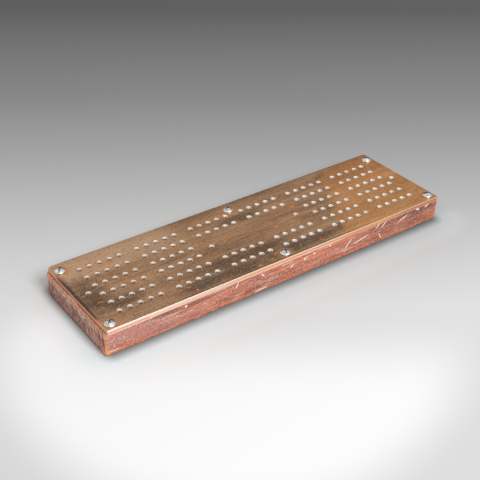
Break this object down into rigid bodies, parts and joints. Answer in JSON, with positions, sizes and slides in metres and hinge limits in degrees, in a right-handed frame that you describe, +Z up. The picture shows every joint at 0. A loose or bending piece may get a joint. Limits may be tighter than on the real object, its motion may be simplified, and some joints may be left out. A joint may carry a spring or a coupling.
{
  "type": "cribbage box",
  "caption": "Long flat wooden box with a brass cribbage plate screwed on top, rows of peg holes, and a shallow peg drawer that slides out of one end.",
  "frame": {"origin": "middle of the closed box's footprint, on the table", "axes": "+X along the box to its closed end (the drawer slides out towards -X), +Y to the back, +Z up out of the brass plate"},
  "size_m": [0.2696, 0.0786, 0.0205],
  "materials": {
    "plate_brass": "worn satin with brown patina, bright hole rims",
    "case_mahogany": "old waxed mahogany, knocked and rubbed at the edges",
    "drawer_mahogany": "mahogany, bare inside, waxed on the front's face",
    "screw_steel": "polished domed heads",
    "cup_nickel": "tarnished nickel plate",
    "iron_brads": "dull dark iron",
    "pin_brass": "tarnished",
    "bone": "aged cream bone, low sheen",
    "ebony": "close-grained black, low sheen"
  },
  "bodies": {
    "case": {"brass_plate": "plate_brass", "front_rail": "case_mahogany", "back_rail": "case_mahogany", "deck_board": "case_mahogany", "end_block": "case_mahogany", "bottom_board": "case_mahogany", "bottom_brads": "iron_brads", "drawer_stop_pin": "pin_brass", "screw_cups": "screw_steel", "screw_front_left": "screw_steel", "screw_front_middle": "screw_steel", "screw_front_right": "screw_steel", "screw_back_left": "screw_steel", "screw_back_middle": "screw_steel", "screw_back_right": "screw_steel"},
    "drawer": {"drawer_front": "drawer_mahogany", "drawer_side_near": "drawer_mahogany", "drawer_side_far": "drawer_mahogany", "drawer_back": "drawer_mahogany", "drawer_bottom": "drawer_mahogany", "drawer_divider": "drawer_mahogany", "drawer_pins": "pin_brass", "peg_bone_1": "bone", "peg_bone_2": "bone", "peg_ebony_1": "ebony", "peg_ebony_2": "ebony"}
  },
  "joints": [
    {"name": "drawer_slide", "type": "slide", "parent": "case", "child": "drawer", "axis": [-1, 0, 0], "range_m": [0, 0.2]}
  ]
}
